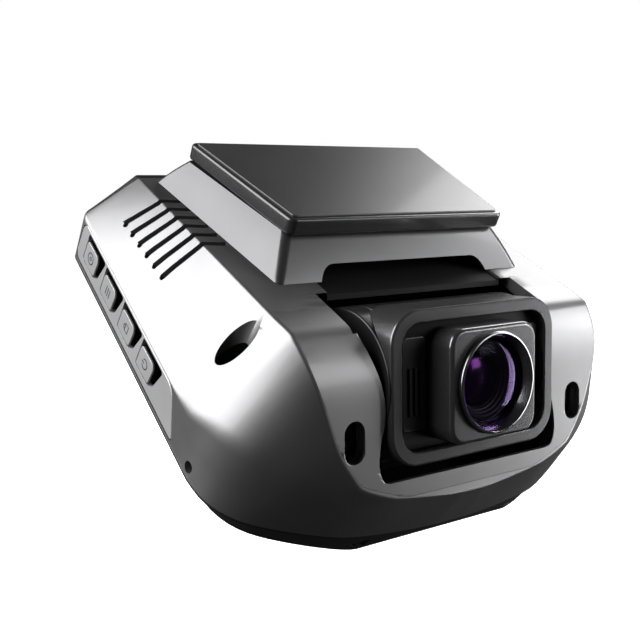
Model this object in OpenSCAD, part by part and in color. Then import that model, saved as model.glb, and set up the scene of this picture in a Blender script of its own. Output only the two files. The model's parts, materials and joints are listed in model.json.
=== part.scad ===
// Wedge-shaped dash camera with a tilting lens turret, side push buttons and a
// slide-off windscreen bracket. Units mm, +Z up. The origin is the centre of the
// adhesive face that meets the windscreen; the lens looks along -Y.

/* [Housing] */
// Overall width across the two flat ends
body_w = 93; // [84:1:105]
// Width of the flat deck between the shoulders
deck_w = 73; // [66:1:80]
// Length of the deck along the windscreen
deck_len = 57; // [50:1:64]
// Height of the rear seam from its bottom edge to the top edge
rim_h = 79; // [70:1:88]
// Outer wall thickness
wall = 2.4; // [1.6:0.1:3]
// Thickness of the front trim plate
trim_t = 1.2; // [0.8:0.1:1.6]
// Recline of the rear screen from upright
screen_recline = 50.1; // [40:0.1:60]

/* [Windscreen bracket] */
// Slope of the windscreen face
pad_tilt = 26.8; // [15:0.1:35]
// Pad width at the rear edge
pad_w_rear = 59.2; // [50:0.1:64]
// Pad width at the front edge
pad_w_front = 52.6; // [44:0.1:60]
// Pad depth along the windscreen
pad_d = 33; // [26:0.1:40]
// Distance from the pad face down to the deck
neck_h = 10; // [8:0.5:14]
// Width of the bracket's sliding rail
rail_w = 17; // [12:1:20]

/* [Lens turret] */
// Width of the bezel
bezel_w = 40; // [36:0.1:42]
// Height of the bezel
bezel_h = 27; // [24:0.1:28]
// Radius of the turret drum
drum_r = 13.2; // [12:0.1:14]
// Diameter of the lens ring
ring_d = 18; // [15:0.1:20]
// Diameter of the front glass
glass_d = 15.1; // [12:0.1:16]

/* [Controls] */
// Distance between neighbouring buttons
button_pitch = 9.37; // [8:0.01:10]
// Number of vent slots on each shoulder
vent_n = 6; // [3:1:8]
// Distance between neighbouring vent slots
vent_pitch = 3.4; // [2.5:0.1:4]

/* [Hidden] */
$fn = 48;
gap = 0.05;
lens_out = 33.4;                     // bezel front ahead of the pad centre
lens_drop = 36.2;                    // lens axis below the pad centre
half_w = body_w / 2;
half_deck = deck_w / 2;
slab_tilt = 90 - screen_recline;
rim_t = 25.6;                        // rear seam behind the bezel centre
rim_bot = -12.4;
rim_top = rim_bot + rim_h;
end_t = 16.5;                        // upper edge of the flat ends
end_s0 = 20.5;
end_s1 = rim_top - 2;
axis_y = 13.5;                       // turret axis behind the bezel front
drum_len = 40.4;
hub_len = 42.8;
hub_r = 6.4;
cheek_x = 22.2;
cheek_t = 1.8;
cradle_r = 15.7;
swing_r = 19.5;
pin_r = 2.5;
glass_out = 5.2;
block_out = 4.3;
block_back = 1.8;
board_t = -20.6;
port_t = -22.7;
usb_s = 56;
jack_s = 45;
card_s = 32;
button_s0 = 61.2;
screen_tilt = 3.2;
screen_t = -28.8;
flank_screw = [40, 17.7];
trim_screw = [27, -7.6];
screw_head_r = 2;
screw_head_h = 1.5;
screw_r = 1.1;

// front profile of the housing, top to bottom: [depth, height, half width]
nose = [[9.1, 12.7, half_deck], [6, 11.2, 36.3], [3.7, 8, 35.7], [2, 4.3, 34.8],
        [1.2, 0, 33.5], [1.1, -4.2, 32.1], [1.1, -9, 30.3], [1.1, -13.2, 27.7],
        [1.1, -15.6, 26], [1.1, -17.8, 22.4], [1.1, -19, 16], [1.1, -19.7, 8]];

// right edge of the turret opening, bottom to top: [half width, height]
opening_side = [[19.5, -15.8], [21.2, -14.6], [21.9, -12.3], [21.5, -8.6], [20.7, -5.7], [20.4, -3.1],
                [21, 0.5], [21.7, 4.2], [21.7, 18]];

function unit(a) = a / norm(a);

// rounds one corner of a polygon into n + 1 points
function corner(a, p, b, r, n = 6) =
    let (u = unit(a - p), v = unit(b - p), h = acos(u * v) / 2,
         c = p + unit(u + v) * r / sin(h), q0 = p + u * r / tan(h) - c, q1 = p + v * r / tan(h) - c,
         a0 = atan2(q0.y, q0.x), d = atan2(q1.y, q1.x) - a0,
         sweep = d > 180 ? d - 360 : d < -180 ? d + 360 : d)
    [for (k = [0:n]) c + r * [cos(a0 + sweep * k / n), sin(a0 + sweep * k / n)]];

function rounded(p, r, n = 6) =
    let (m = len(p)) [for (i = [0:m - 1]) each corner(p[(i + m - 1) % m], p[i], p[(i + 1) % m], r[i], n)];

function box_pts(w, h) = [[w / 2, h / 2], [-w / 2, h / 2], [-w / 2, -h / 2], [w / 2, -h / 2]];

function trapezoid(front, rear, y0, y1) = [[rear, y1], [-rear, y1], [-front, y0], [front, y0]];

// outline of the rear seam, inset by i
function rim(i = 0) = rounded(
    [[half_w - i, rim_top - i], [i - half_w, rim_top - i], [i - half_w, i * 0.8 - 0.5],
     [-17, rim_bot + i], [17, rim_bot + i], [half_w - i, i * 0.8 - 0.5]], [7, 7, 9, 30, 30, 9], 4);

// outline of a flat end panel, in slab coordinates
function strip(i = 0) = rounded(
    [[rim_top - 2.2 - i, -end_t - 0.3 - i], [20.6 + i * 0.7, -end_t - 0.3 - i],
     [15.2 + i, -rim_t + 0.4 + i], [rim_top - 2.2 - i, -rim_t + 0.4 + i]], [2, 4, 0.6, 2], 5);

module from_bezel() translate([0, -lens_out, -lens_drop]) children();
module lens_frame() from_bezel() rotate([90, 0, 0]) children();
module slab_frame() from_bezel() rotate([slab_tilt, 0, 0]) children();
module pad_frame() rotate([pad_tilt, 0, 0]) children();
module screen_frame() slab_frame() translate([0, 27, screen_t]) rotate([screen_tilt, 0, 0]) children();
module turret_axis() from_bezel() translate([0, axis_y, 0]) rotate([0, 90, 0]) children();
module both() for (m = [0, 1]) mirror([m, 0, 0]) children();
module prism(p, h) linear_extrude(h) polygon(p);
module tube(r1, r2, h) difference() { cylinder(r = r1, h = h); translate([0, 0, -1]) cylinder(r = r2, h = h + 2); }
module bar(x0, x1, y0, y1, z0, z1) translate([x0, y0, z0]) cube([x1 - x0, y1 - y0, z1 - z0]);

// places a profile drawn in slab (s, t) coordinates so that it extrudes along +X from x0
module along_x(x0) slab_frame() translate([x0, 0, 0]) rotate([90, 0, 90]) children();

// solid outer form of the housing, inset by i
module form(i = 0, drop = 0) hull() {
    slab_frame() {
        translate([0, 0, -rim_t - drop]) prism(rim(i), 0.3 + drop);
        bar(i - half_w, half_w - i, end_s0, end_s1 - i, -rim_t, -end_t - i * 0.25);
    }
    pad_frame() bar(i * 0.6 - half_deck, half_deck - i * 0.6, i - 32.2, deck_len - 32.2 - i,
                    -neck_h - i - 0.2, -neck_h - i);
    from_bezel() for (p = nose) translate([0, p[0] + i, p[1] * (1 - i / 19.8)])
        cube([2 * (p[2] - i * 0.8), 0.1, 0.1], center = true);
}

// outline of the front trim plate, seen along the lens axis
module trim_region() lens_frame() translate([0, 0, -11])
    prism(rounded([[36, 14], [-36, 14], [-34.4, 4], [-33, 0], [-30, -8.8], [-25.8, -15.2], [-16, -18.8],
                   [16, -18.8], [25.8, -15.2], [30, -8.8], [33, 0], [34.4, 4]],
                  [1, 1, 8, 8, 8, 6, 12, 12, 6, 8, 8, 8], 3), 14);

// opening that the turret looks out of
module turret_opening() {
    lens_frame() translate([0, 0, -9])
        prism(concat(opening_side, [for (k = [len(opening_side) - 1:-1:0]) [-opening_side[k].x, opening_side[k].y]]), 14);
    turret_axis() translate([0, 0, -20.4]) cylinder(r = swing_r, h = 40.8, $fn = 96);
    difference() {
        turret_axis() translate([0, 0, -24.3]) cylinder(r = cradle_r + 0.15, h = 48.6);
        from_bezel() bar(-30, 30, -10, 4.8, -20, 20);
    }
    pad_frame() bar(-21.7, 21.7, -36, -13.4, -neck_h - wall - 1, -neck_h + 1);
}

module adhesive_pad() color([0.06, 0.06, 0.07]) pad_frame() translate([0, 0, -0.9])
    prism(rounded(trapezoid(pad_w_front / 2 - 1, pad_w_rear / 2 - 1, 1 - pad_d / 2, pad_d / 2 - 1),
                  [2.2, 2.2, 1.3, 1.3]), 0.9);

module mount_plate() color([0.12, 0.12, 0.13]) pad_frame() difference() {
    union() {
        translate([0, 0, -3.5])
            prism(rounded(trapezoid(pad_w_front / 2, pad_w_rear / 2, -pad_d / 2, pad_d / 2), [3, 3, 2, 2]), 3.15);
        bar(-20, 24, -rail_w / 2 + 3.5, rail_w / 2 - 3.5, -6.1, -3.4);
        bar(-20, 24, -rail_w / 2, rail_w / 2, -8.1, -6);
    }
    translate([0, 0, -0.95])
        prism(rounded(trapezoid(pad_w_front / 2 - 0.9, pad_w_rear / 2 - 0.9, 0.9 - pad_d / 2, pad_d / 2 - 0.9),
                      [2.3, 2.3, 1.4, 1.4]), 2);
}

module latch_spring() color([0.7, 0.7, 0.72]) pad_frame() {
    bar(-23.6, -20.3, -3, 3, -8.2, -7.9);
    translate([-22, 3, -7.75]) rotate([90, 0, 0]) cylinder(r = 0.5, h = 6);
}

module pedestal() color([0.16, 0.16, 0.17]) pad_frame() difference() {
    hull() {
        translate([0, 0, -4]) prism(rounded(trapezoid(25.7, 30.8, -15, 13), [3, 3, 2, 2]), 0.2);
        translate([0, 0, -neck_h + gap]) prism(rounded(trapezoid(30, 33.4, -22, 19.5), [4, 4, 3, 3]), 0.2);
    }
    // slot for the rail, open at the +X side
    bar(-24, 40, -rail_w / 2 - 0.25, rail_w / 2 + 0.25, -8.4, -5.8);
    bar(-20.3, 40, -rail_w / 2 + 3.25, rail_w / 2 - 3.25, -6, 0);
    // arch over the turret
    bar(-18.5, 18.5, -30, -12, -12, -7.7);
    bar(-21.3, 21.3, -30, -12, -12, -9);
    both() translate([18.5, -12, -10.5]) rotate([90, 0, 0]) cylinder(r = 2.8, h = 18);
    // service pockets in the underside
    both() bar(22.5, 27, -11, 11, -12, -9.2);
}

module vent_cuts() both() pad_frame() for (k = [0:vent_n - 1])
    translate([0, 10.75 - vent_pitch * k, 0]) rotate([90, 0, 0])
        prism([[32.8, -8], [38.5, -8], [45.5, -16.6], [42.4, -17.2], [35.5, -13.2], [32.8, -13.2]], 1.1);

module screw_bosses() {
    slab_frame() both() translate([flank_screw.x, flank_screw.y, -rim_t]) cylinder(r = 4.1, h = 24);
    lens_frame() both() hull() for (dz = [-1.5, 1.5])
        translate([trim_screw.x, trim_screw.y + dz, -14]) cylinder(r = 2.85, h = 12, $fn = 32);
}

module screw_recesses() {
    slab_frame() both() translate([flank_screw.x, flank_screw.y, 0]) {
        translate([0, 0, -14]) cylinder(r = 2.4, h = 30);
        translate([0, 0, -30]) cylinder(r = screw_r + gap, h = 30);
    }
    lens_frame() both() translate([trim_screw.x, trim_screw.y, 0]) {
        for (dz = [-1.5, 1.5]) translate([0, dz, -5.5]) cylinder(r = 2.15, h = 12);
        bar(-2.15, 2.15, -1.5, 1.5, -5.5, 6.5);
        translate([0, 0, -15]) cylinder(r = screw_r + gap, h = 15);
    }
}

module main_shell() color([0.62, 0.62, 0.64]) difference() {
    union() {
        difference() {
            form();
            form(wall, 2);
        }
        intersection() { form(0.6); screw_bosses(); }
    }
    difference() { trim_region(); form(trim_t + gap); }
    turret_opening();
    vent_cuts();
    screw_recesses();
    // seats for the end panels and the windows behind them
    for (x = [-half_w - 1, half_w - 1.45]) along_x(x) prism(strip(-0.15), 2.45);
    slab_frame() bar(-half_w - 1, -half_w + 4, 22, 63, -24.6, -18);
    slab_frame() bar(half_w - 4, half_w + 1, 24, 61, -24.9, -20.5);
    // microphone port
    slab_frame() translate([-half_w - 2, 8.9, -23.9]) rotate([0, 90, 0]) cylinder(r = 1.1, h = 7, $fn = 24);
}

module front_trim() color([0.3, 0.3, 0.31]) difference() {
    intersection() { form(); trim_region(); }
    form(trim_t);
    turret_opening();
    screw_recesses();
}

module rear_cover() color([0.07, 0.07, 0.08]) difference() {
    union() {
        difference() {
            hull() {
                slab_frame() translate([0, 0, -rim_t - 0.35]) prism(rim(0), 0.3);
                screen_frame() prism([for (p = rim(0.5)) p - [0, 27]], 0.3);
            }
            intersection() {
                slab_frame() translate([0, 0, -35]) prism(rim(wall), 20);
                screen_frame() bar(-50, 50, -50, 50, 1.8, 20);
            }
        }
        slab_frame() both() translate([flank_screw.x, flank_screw.y, -28.2]) cylinder(r = 3.2, h = 2.55);
    }
    screen_frame() {
        translate([0, 2, -1]) prism(rounded(box_pts(74.2, 56.2), [3.1, 3.1, 3.1, 3.1]), 2.25);
        translate([0, 2, -1]) prism(box_pts(69.4, 50.4), 10);
    }
    slab_frame() both() translate([flank_screw.x, flank_screw.y, -27.4]) cylinder(r = screw_r + gap, h = 6);
}

module screen_window() color([0.02, 0.02, 0.025]) screen_frame() translate([0, 2, 0.05])
    prism(rounded(box_pts(74, 56), [3, 3, 3, 3]), 1.15);

module lcd_panel() color([0.1, 0.11, 0.13]) screen_frame() translate([0, 2, 1.25]) prism(box_pts(69, 50), 2.3);

module main_board() color([0.05, 0.22, 0.12]) slab_frame() difference() {
    translate([0, 0, board_t]) prism(rounded([[38, 62.5], [-38, 62.5], [-38, 27], [38, 27]], [2, 2, 2, 2]), 1.2);
    both() translate([34, 58.5, board_t - 1]) cylinder(r = 1.3, h = 4);
}

module processor() color([0.08, 0.08, 0.09]) slab_frame() bar(-7, 7, 34, 48, board_t + 1.2, board_t + 2.6);

module heat_sink() color([0.75, 0.75, 0.77]) slab_frame() {
    bar(-10, 10, 31, 51, board_t + 2.6, board_t + 4);
    for (k = [0:5]) bar(-10 + k * 3.76, -8.8 + k * 3.76, 31, 51, board_t + 3.9, board_t + 8);
}

module memory_chips() color([0.09, 0.09, 0.1]) slab_frame()
    for (x = [-24, 13]) bar(x, x + 11, 36, 46, board_t + 1.2, board_t + 2.2);

module backup_capacitors() color([0.1, 0.12, 0.2]) slab_frame() for (x = [-26, 10])
    translate([x, 57, board_t + 5.3]) rotate([0, 90, 0]) cylinder(r = 4, h = 16);

module speaker() color([0.2, 0.2, 0.2]) slab_frame() translate([-28, 44, -14]) {
    cylinder(r = 6.2, h = 2.6);
    translate([0, 0, 2.5]) tube(6.2, 4.6, 0.8);
}

module microphone() color([0.8, 0.8, 0.7]) slab_frame() translate([-42.2, 8.9, -23.9]) rotate([0, 90, 0])
    cylinder(r = 1.6, h = 1.5);

module usb_port() color([0.75, 0.75, 0.76]) slab_frame() difference() {
    bar(36, half_w - 1.5, usb_s - 3.8, usb_s + 3.8, port_t - 1.95, port_t + 1.95);
    bar(38, half_w, usb_s - 3.4, usb_s + 3.4, port_t - 1.55, port_t + 1.55);
}

module av_jack() color([0.1, 0.1, 0.1]) slab_frame() difference() {
    union() {
        bar(35.2, 43, jack_s - 2.6, jack_s + 2.6, port_t - 1.95, port_t + 1.95);
        translate([42, jack_s, port_t]) rotate([0, 90, 0]) cylinder(r = 1.9, h = half_w - 43);
    }
    translate([36, jack_s, port_t]) rotate([0, 90, 0]) cylinder(r = 1.28, h = 20);
}

module card_socket() color([0.7, 0.7, 0.72]) slab_frame() difference() {
    bar(29, half_w - 1.5, card_s - 6.1, card_s + 6.1, port_t + 0.4, port_t + 2.05);
    bar(30, half_w, card_s - 5.7, card_s + 5.7, port_t + 0.7, port_t + 1.75);
}

module memory_card() color([0.12, 0.12, 0.14]) slab_frame()
    bar(30.6, half_w - 0.4, card_s - 5.5, card_s + 5.5, port_t + 0.83, port_t + 1.6);

module end_strip_left() color([0.8, 0.8, 0.81]) difference() {
    along_x(-half_w) prism(strip(), 1.35);
    for (k = [0:3]) along_x(-half_w - 1) translate([-button_pitch * k, 0])
        prism([[61.35, -17.4], [52.6, -17.4], [54, -22.4], [55.6, -23.75], [61.35, -23.75]], 4);
    slab_frame() translate([-half_w - 2, 8.9, -23.9]) rotate([0, 90, 0]) cylinder(r = 1.1, h = 7, $fn = 24);
}

module end_strip_right() color([0.8, 0.8, 0.81]) difference() {
    along_x(half_w - 1.35) prism(strip(), 1.35);
    slab_frame() {
        bar(40, 50, usb_s - 3.6, usb_s + 3.6, port_t - 1.75, port_t + 1.75);
        translate([40, jack_s, port_t]) rotate([0, 90, 0]) cylinder(r = 1.9, h = 10);
        bar(40, 50, card_s - 5.8, card_s + 5.8, port_t + 0.6, port_t + 1.85);
        translate([half_w - 0.7, card_s, port_t + 1.2]) rotate([0, 90, 0]) cylinder(r = 3, h = 5);
    }
}

module button_cap(k) color([0.78, 0.78, 0.79]) {
    along_x(-half_w) translate([-button_pitch * k, 0])
        prism(rounded([[61.2, -18.9], [55.4, -18.9], [55.7, -23.6], [61.2, -23.6]], [0.8, 1, 0.6, 0.6], 4), 1.5);
    slab_frame() translate([-half_w + 1.4, 58.3 - button_pitch * k, -21.2]) rotate([0, 90, 0])
        cylinder(r = 1.2, h = 1.2, $fn = 24);
}

module button_ok() button_cap(0);
module button_menu() button_cap(1);
module button_lock() button_cap(2);
module button_power() button_cap(3);

module button_board() color([0.05, 0.22, 0.12]) slab_frame() bar(-41.6, -40.6, 24, 62.8, -24.4, -18.2);

module tact_switches() color([0.7, 0.7, 0.72]) slab_frame() for (k = [0:3])
    translate([-42.8, 58.3 - button_pitch * k, -21.2]) {
        bar(0, 1.2, -1.7, 1.7, -1.7, 1.7);
        translate([-0.55, 0, 0]) rotate([0, 90, 0]) cylinder(r = 0.9, h = 0.6, $fn = 24);
    }

module turret_cradle() color([0.05, 0.05, 0.055]) difference() {
    union() {
        turret_axis() translate([0, 0, -cheek_x - cheek_t]) cylinder(r = cradle_r, h = 2 * (cheek_x + cheek_t));
        // roof under the arch
        pad_frame() bar(-21.5, 21.5, -25, -13.6, -neck_h - 1.8, -neck_h - 0.5);
    }
    turret_axis() {
        translate([0, 0, -cheek_x]) cylinder(r = cradle_r - 1.2, h = 2 * cheek_x);
        translate([0, 0, -30]) cylinder(r = pin_r + gap, h = 60);
    }
    // open to the front and clear of the deck
    from_bezel() bar(-cheek_x, cheek_x, -10, axis_y + 2, -20, 20);
    from_bezel() bar(-30, 30, -10, 5, -20, 20);
    from_bezel() bar(-30, 30, -10, 40, -20, -12.6);
    pad_frame() {
        bar(-30, 30, -60, 10, -neck_h - 0.5, 10);
        both() bar(21.5, 30, -60, 10, -neck_h - wall - 0.4, 10);
    }
}

module friction_washers() color([0.85, 0.85, 0.8]) turret_axis()
    for (x = [-cheek_x + gap, cheek_x - 0.65]) translate([0, 0, x]) tube(6, pin_r + gap, 0.6);

module pivot_pins() color([0.7, 0.7, 0.72]) turret_axis()
    for (x = [-24, 20.6]) translate([0, 0, x]) cylinder(r = pin_r, h = 3.4);

module turret_drum() color([0.35, 0.35, 0.36]) difference() {
    turret_axis() {
        translate([0, 0, -drum_len / 2]) cylinder(r = drum_r, h = drum_len, $fn = 96);
        translate([0, 0, -hub_len / 2]) cylinder(r = hub_r, h = hub_len);
    }
    turret_axis() translate([0, 0, -drum_len / 2 + 1.6]) cylinder(r = drum_r - 1.6, h = drum_len - 3.2);
    turret_axis() for (x = [-25, 20.6]) translate([0, 0, x]) cylinder(r = pin_r, h = 4.4);
    lens_frame() translate([0, 0, -6]) prism(rounded(box_pts(bezel_w - 4.9, bezel_h - 4.7), [4, 4, 4, 4]), 20);
    // cable exit
    turret_axis() rotate([0, 0, 90]) translate([0, 0, -6]) bar(-14, -9, -1.2, 1.2, 0, 12);
}

module bezel_frame() color([0.55, 0.55, 0.56]) difference() {
    lens_frame() translate([0, 0, -9]) prism(rounded(box_pts(bezel_w, bezel_h), [6, 6, 6, 6]), 9);
    lens_frame() translate([0, 0, -10]) prism(rounded(box_pts(bezel_w - 4.9, bezel_h - 4.7), [4, 4, 4, 4]), 20);
    turret_axis() translate([0, 0, -30]) cylinder(r = drum_r + gap, h = 60, $fn = 96);
}

module turret_mask() color([0.06, 0.06, 0.065]) lens_frame() difference() {
    union() {
        translate([0, 0, -block_back - 1]) prism(rounded(box_pts(bezel_w - 5.1, bezel_h - 4.9), [3.9, 3.9, 3.9, 3.9]), 1);
        both() bar(11, 17, -7.6, 8.6, -block_back - 0.1, -block_back + 0.5);
        both() for (k = [0:2]) bar(12.4 + k * 1.1, 12.9 + k * 1.1, -4, 2.4, -block_back + 0.4, -block_back + 0.9);
    }
    translate([0, 0, -10]) cylinder(r = 7.15, h = 20);
}

module lens_block() color([0.45, 0.45, 0.46]) lens_frame() difference() {
    union() {
        translate([0, 0, -block_back + gap]) prism(rounded(box_pts(21, 20), [3.2, 3.2, 3.2, 3.2]), block_back + block_out - 0.8);
        translate([0, 0, block_out - 0.8]) prism(rounded(box_pts(20.2, 19.2), [3, 3, 3, 3]), 0.8);
    }
    translate([0, 0, -3]) cylinder(r = ring_d / 2 + gap, h = 20);
}

module lens_ring() color([0.8, 0.8, 0.82]) lens_frame() rotate_extrude($fn = 96)
    polygon([[7.2, -block_back + 0.1], [ring_d / 2, -block_back + 0.1], [ring_d / 2, glass_out - 0.3],
             [ring_d / 2 - 0.3, glass_out], [glass_d / 2 + 0.9, glass_out], [glass_d / 2 + 0.05, glass_out - 1.6],
             [glass_d / 2 + 0.05, 2.2], [7.2, 2.2]]);

module front_glass() color([0.05, 0.05, 0.12]) lens_frame() rotate_extrude($fn = 64)
    polygon(concat([[0, 2.3], [glass_d / 2, 2.3], [glass_d / 2, 2.9]],
                   [for (k = [1:7]) [glass_d / 2 * cos(k * 90 / 7), 2.9 + 1.5 * sin(k * 90 / 7)]]));

module lens_barrel() color([0.1, 0.1, 0.1]) lens_frame() rotate_extrude($fn = 64)
    polygon([[5, -10], [7, -10], [7, 2.15], [4.5, 2.15], [4.5, 0], [5, -1]]);

module rear_lens() color([0.3, 0.35, 0.5]) lens_frame() rotate_extrude($fn = 48)
    polygon(concat([[0, -7.5], [4.95, -7.5], [4.95, -6.5]],
                   [for (k = [1:6]) [4.95 * cos(k * 15), -6.5 + 1.6 * sin(k * 15)]]));

module sensor_board() color([0.05, 0.2, 0.12]) lens_frame() bar(-8.5, 8.5, -8.5, 8.5, -13.3, -12.3);

module image_sensor() color([0.2, 0.25, 0.3]) lens_frame() bar(-3.6, 3.6, -3, 3, -12.3, -11.3);

module lens_holder() color([0.08, 0.08, 0.08]) lens_frame() difference() {
    union() {
        bar(-8, 8, -8, 8, -12.3, -9);
        translate([0, 0, -9.1]) cylinder(r = 8, h = 5);
    }
    bar(-5.5, 5.5, -5, 5, -13, -10);
    translate([0, 0, -14]) cylinder(r = 4.6, h = 20);
    translate([0, 0, -10.05]) cylinder(r = 7.05, h = 20);
}

module case_screws() color([0.5, 0.5, 0.52]) {
    slab_frame() both() translate([flank_screw.x, flank_screw.y, -14]) screw();
    lens_frame() both() translate([trim_screw.x, trim_screw.y, -5.5]) screw();
}

module screw() difference() {
    union() {
        cylinder(r = screw_head_r, h = screw_head_h);
        translate([0, 0, -12]) cylinder(r = screw_r, h = 12.1);
    }
    for (a = [0, 90]) rotate([0, 0, a]) bar(-1.2, 1.2, -0.25, 0.25, screw_head_h - 0.7, screw_head_h + 1);
}

adhesive_pad();
mount_plate();
latch_spring();
pedestal();
main_shell();
front_trim();
rear_cover();
screen_window();
lcd_panel();
main_board();
processor();
heat_sink();
memory_chips();
backup_capacitors();
speaker();
microphone();
usb_port();
av_jack();
card_socket();
memory_card();
end_strip_left();
end_strip_right();
button_ok();
button_menu();
button_lock();
button_power();
button_board();
tact_switches();
turret_cradle();
friction_washers();
pivot_pins();
turret_drum();
bezel_frame();
turret_mask();
lens_block();
lens_ring();
front_glass();
lens_barrel();
rear_lens();
lens_holder();
image_sensor();
sensor_board();
case_screws();
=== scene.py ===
import bpy
import bmesh
import json
import math
from mathutils import Matrix, Vector


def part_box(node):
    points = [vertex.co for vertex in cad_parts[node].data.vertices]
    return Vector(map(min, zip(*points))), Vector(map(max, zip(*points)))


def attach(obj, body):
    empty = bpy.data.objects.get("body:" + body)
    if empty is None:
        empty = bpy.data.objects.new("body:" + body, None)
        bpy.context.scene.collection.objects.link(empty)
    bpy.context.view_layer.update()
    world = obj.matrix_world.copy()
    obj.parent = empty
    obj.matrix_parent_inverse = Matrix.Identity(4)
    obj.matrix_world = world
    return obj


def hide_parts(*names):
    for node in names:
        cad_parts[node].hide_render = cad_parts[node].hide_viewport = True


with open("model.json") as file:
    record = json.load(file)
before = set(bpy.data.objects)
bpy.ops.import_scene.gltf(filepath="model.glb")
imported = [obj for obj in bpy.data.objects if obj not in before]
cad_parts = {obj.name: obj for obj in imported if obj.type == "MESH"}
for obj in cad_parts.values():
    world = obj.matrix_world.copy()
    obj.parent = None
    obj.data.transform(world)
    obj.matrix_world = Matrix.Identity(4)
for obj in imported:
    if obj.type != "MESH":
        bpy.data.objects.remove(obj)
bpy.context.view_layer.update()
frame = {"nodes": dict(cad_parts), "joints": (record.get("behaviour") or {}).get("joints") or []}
print("frame loaded")

mm = 0.001
padTilt = math.radians(26.8)
slabTilt = math.radians(39.9)       # lean of the screen, and of the whole housing with it
screenRecline = math.radians(3.2)
bezelLow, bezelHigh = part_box("bezel_frame")
turretJoint = next(joint for joint in frame["joints"] if joint["name"] == "turret_tilt")
bezelOut = round(-bezelLow.y / mm, 2)                         # bezel front ahead of the pad
lensDrop = round(-(bezelLow.z + bezelHigh.z) / 2 / mm, 2)     # lens axis below the pad
axisBack = round((turretJoint["pos_m"][1] - bezelLow.y) / mm, 2)
halfWidth = round(-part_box("end_strip_left")[0].x / mm, 2)

# local frames in mm: x to the side, then along the pad, along the screen, or up the lens face
toMetres = Matrix.Scale(mm, 4)
padFrame = toMetres @ Matrix.Rotation(padTilt, 4, "X")
bezelFrame = toMetres @ Matrix.Translation((0, -bezelOut, -lensDrop))
slabFrame = bezelFrame @ Matrix.Rotation(slabTilt, 4, "X")
lensFrame = bezelFrame @ Matrix.Rotation(math.pi / 2, 4, "X")
screenFrame = slabFrame @ Matrix.Translation((0, 27, -28.8)) @ Matrix.Rotation(screenRecline, 4, "X")
axleFrame = bezelFrame @ Matrix.Translation((0, axisBack, 0)) @ Matrix.Rotation(math.pi / 2, 4, "Y")

cameraView = {
    "place": (-0.1254, -0.1566, -0.0041),
    "turn": -36.41,                 # round the camera, from straight ahead
    "rise": 6.96,
    "roll": -0.86,
    "lens": 55.96,
}


def makeCamera(view):
    turn, rise, roll = (math.radians(view[k]) for k in ("turn", "rise", "roll"))
    right = Vector((math.cos(turn), math.sin(turn), 0))
    back = Vector((math.sin(turn) * math.cos(rise), -math.cos(turn) * math.cos(rise), math.sin(rise)))
    up = back.cross(right)
    camRight = math.cos(roll) * right + math.sin(roll) * up
    camUp = -math.sin(roll) * right + math.cos(roll) * up
    data = bpy.data.cameras.new("mainCamera")
    data.lens = view["lens"]
    data.sensor_width = 36
    data.clip_start = 0.005
    cam = bpy.data.objects.new("mainCamera", data)
    bpy.context.collection.objects.link(cam)
    axes = Matrix((camRight, camUp, back)).transposed().to_4x4()
    cam.matrix_world = Matrix.Translation(view["place"]) @ axes
    bpy.context.scene.camera = cam


# size and place in metres, power in watts
softboxes = {
    "leftBox": {"place": (-0.54, 0.16, 0.25), "aim": (-0.03, 0, -0.03), "size": (0.6, 0.6), "power": 9},
    "backRight": {"place": (0.5, 0.16, 0.34), "aim": (0, 0, 0), "size": (0.26, 0.26), "power": 1.5},
    "rightStrip": {"place": (0.5, -0.26, 0.02), "aim": (0, 0, -0.04), "size": (0.14, 0.6), "power": 4},
    "frontFill": {"place": (0.34, -0.48, 0.14), "aim": (0, 0, -0.04), "size": (0.22, 0.22), "power": 0.6},
}
studio = {"seen": 1.0, "reflected": 0.03}       # brightness of the surroundings, straight and in reflections


def makeSoftbox(name, box):
    data = bpy.data.lights.new(name, "AREA")
    data.energy = box["power"]
    data.shape = "RECTANGLE"
    data.size, data.size_y = box["size"]
    lamp = bpy.data.objects.new(name, data)
    bpy.context.collection.objects.link(lamp)
    lamp.location = box["place"]
    lamp.rotation_mode = "QUATERNION"
    lamp.rotation_quaternion = (Vector(box["aim"]) - Vector(box["place"])).to_track_quat("-Z", "Y")


def makeWorld(seen, reflected):
    world = bpy.data.worlds.new("studio")
    bpy.context.scene.world = world
    world.use_nodes = True
    nodes = world.node_tree.nodes
    links = world.node_tree.links
    shown = nodes["Background"]
    shown.inputs["Color"].default_value = (seen, seen, seen, 1)
    around = nodes.new("ShaderNodeBackground")
    around.inputs["Color"].default_value = (reflected, reflected, reflected, 1)
    path = nodes.new("ShaderNodeLightPath")
    mix = nodes.new("ShaderNodeMixShader")
    links.new(path.outputs["Is Camera Ray"], mix.inputs["Fac"])
    links.new(around.outputs["Background"], mix.inputs[1])
    links.new(shown.outputs["Background"], mix.inputs[2])
    links.new(mix.outputs["Shader"], nodes["World Output"].inputs["Surface"])


makeCamera(cameraView)
for boxName, softbox in softboxes.items():
    makeSoftbox(boxName, softbox)
makeWorld(studio["seen"], studio["reflected"])
bpy.context.scene.view_settings.view_transform = "Standard"
print("camera and lights placed")


def startMaterial(name):
    mat = bpy.data.materials.new(name)
    mat.use_nodes = True
    tree = mat.node_tree
    return mat, tree, tree.nodes["Principled BSDF"]


def noiseNode(tree, scale, detail=3, stretch=(1, 1, 1)):
    coords = tree.nodes.new("ShaderNodeTexCoord")
    mapping = tree.nodes.new("ShaderNodeMapping")
    mapping.inputs["Scale"].default_value = stretch
    noise = tree.nodes.new("ShaderNodeTexNoise")
    noise.inputs["Scale"].default_value = scale
    noise.inputs["Detail"].default_value = detail
    tree.links.new(coords.outputs["Object"], mapping.inputs["Vector"])
    tree.links.new(mapping.outputs["Vector"], noise.inputs["Vector"])
    return noise


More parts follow.
